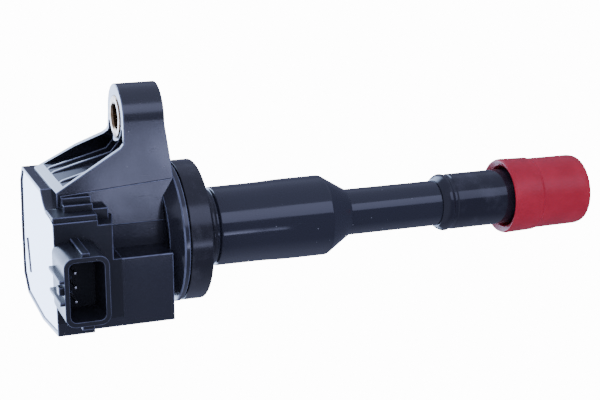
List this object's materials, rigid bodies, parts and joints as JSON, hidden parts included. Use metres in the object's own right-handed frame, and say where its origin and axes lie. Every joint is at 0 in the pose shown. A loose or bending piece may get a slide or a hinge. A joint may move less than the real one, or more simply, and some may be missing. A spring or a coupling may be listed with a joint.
{
  "type": "ignition coil",
  "caption": "Coil-on-plug ignition coil with a bolted head, side connector socket, flange seal, long tube, rubber plug boot and a pull-off protective cap.",
  "frame": {"origin": "on the shaft's axis, level with the bolting face under the ear's bush", "axes": "+Z along the shaft from the boot up to the head, +X from the shaft towards the bolt hole, -Y the way the connector faces"},
  "size_m": [0.0663, 0.0656, 0.1698],
  "materials": {
    "case_plastic": "semi-gloss moulded, fine grain",
    "connector_plastic": "semi-gloss moulded",
    "tube_plastic": "smooth gloss moulding",
    "resin": "cast, mirror smooth",
    "bush_steel": "yellow passivated, turned",
    "pin_metal": "tin plated",
    "aluminium_plate": "rolled",
    "package_plastic": "moulded",
    "sheet_brass": "stamped",
    "seal_rubber": "moulded, satin",
    "boot_rubber": "moulded, smooth",
    "core_steel": "rolled strip",
    "copper_wire": "enamelled wire",
    "bobbin_plastic": "moulded",
    "magnet": "sintered",
    "resistor_body": "coated",
    "spring_steel": "drawn wire",
    "contact_metal": "nickel plated",
    "cap_plastic": "soft moulded, slightly translucent"
  },
  "bodies": {
    "coil": {"head_case": "case_plastic", "potting_resin": "resin", "mounting_bush": "bush_steel", "connector_housing": "connector_plastic", "terminal_pin_1": "pin_metal", "terminal_pin_2": "pin_metal", "terminal_pin_3": "pin_metal", "igniter_module": "package_plastic", "igniter_heat_plate": "aluminium_plate", "lead_frame": "sheet_brass", "flange_seal": "seal_rubber", "tube_seal_ring": "seal_rubber", "coil_tube": "tube_plastic", "outer_core_sleeve": "core_steel", "primary_winding": "copper_wire", "primary_bobbin": "bobbin_plastic", "secondary_winding": "copper_wire", "secondary_bobbin": "bobbin_plastic", "iron_core": "core_steel", "upper_magnet": "magnet", "lower_magnet": "magnet", "core_damping_pads": "seal_rubber", "high_voltage_terminal": "sheet_brass", "high_voltage_tower": "tube_plastic", "suppressor_resistor": "resistor_body", "contact_spring": "spring_steel", "plug_boot": "boot_rubber"},
    "contact": {"plug_contact": "contact_metal"},
    "cap": {"protective_cap": "cap_plastic"}
  },
  "joints": [
    {"name": "cap_pull", "type": "slide", "parent": "coil", "child": "cap", "axis": [0, 0, -1], "range_m": [0, 0.045]},
    {"name": "contact_press", "type": "slide", "parent": "coil", "child": "contact", "axis": [0, 0, 1], "range_m": [-0.001, 0.0035], "stiffness_N_per_m": 900, "deforming": ["contact_spring"]}
  ]
}
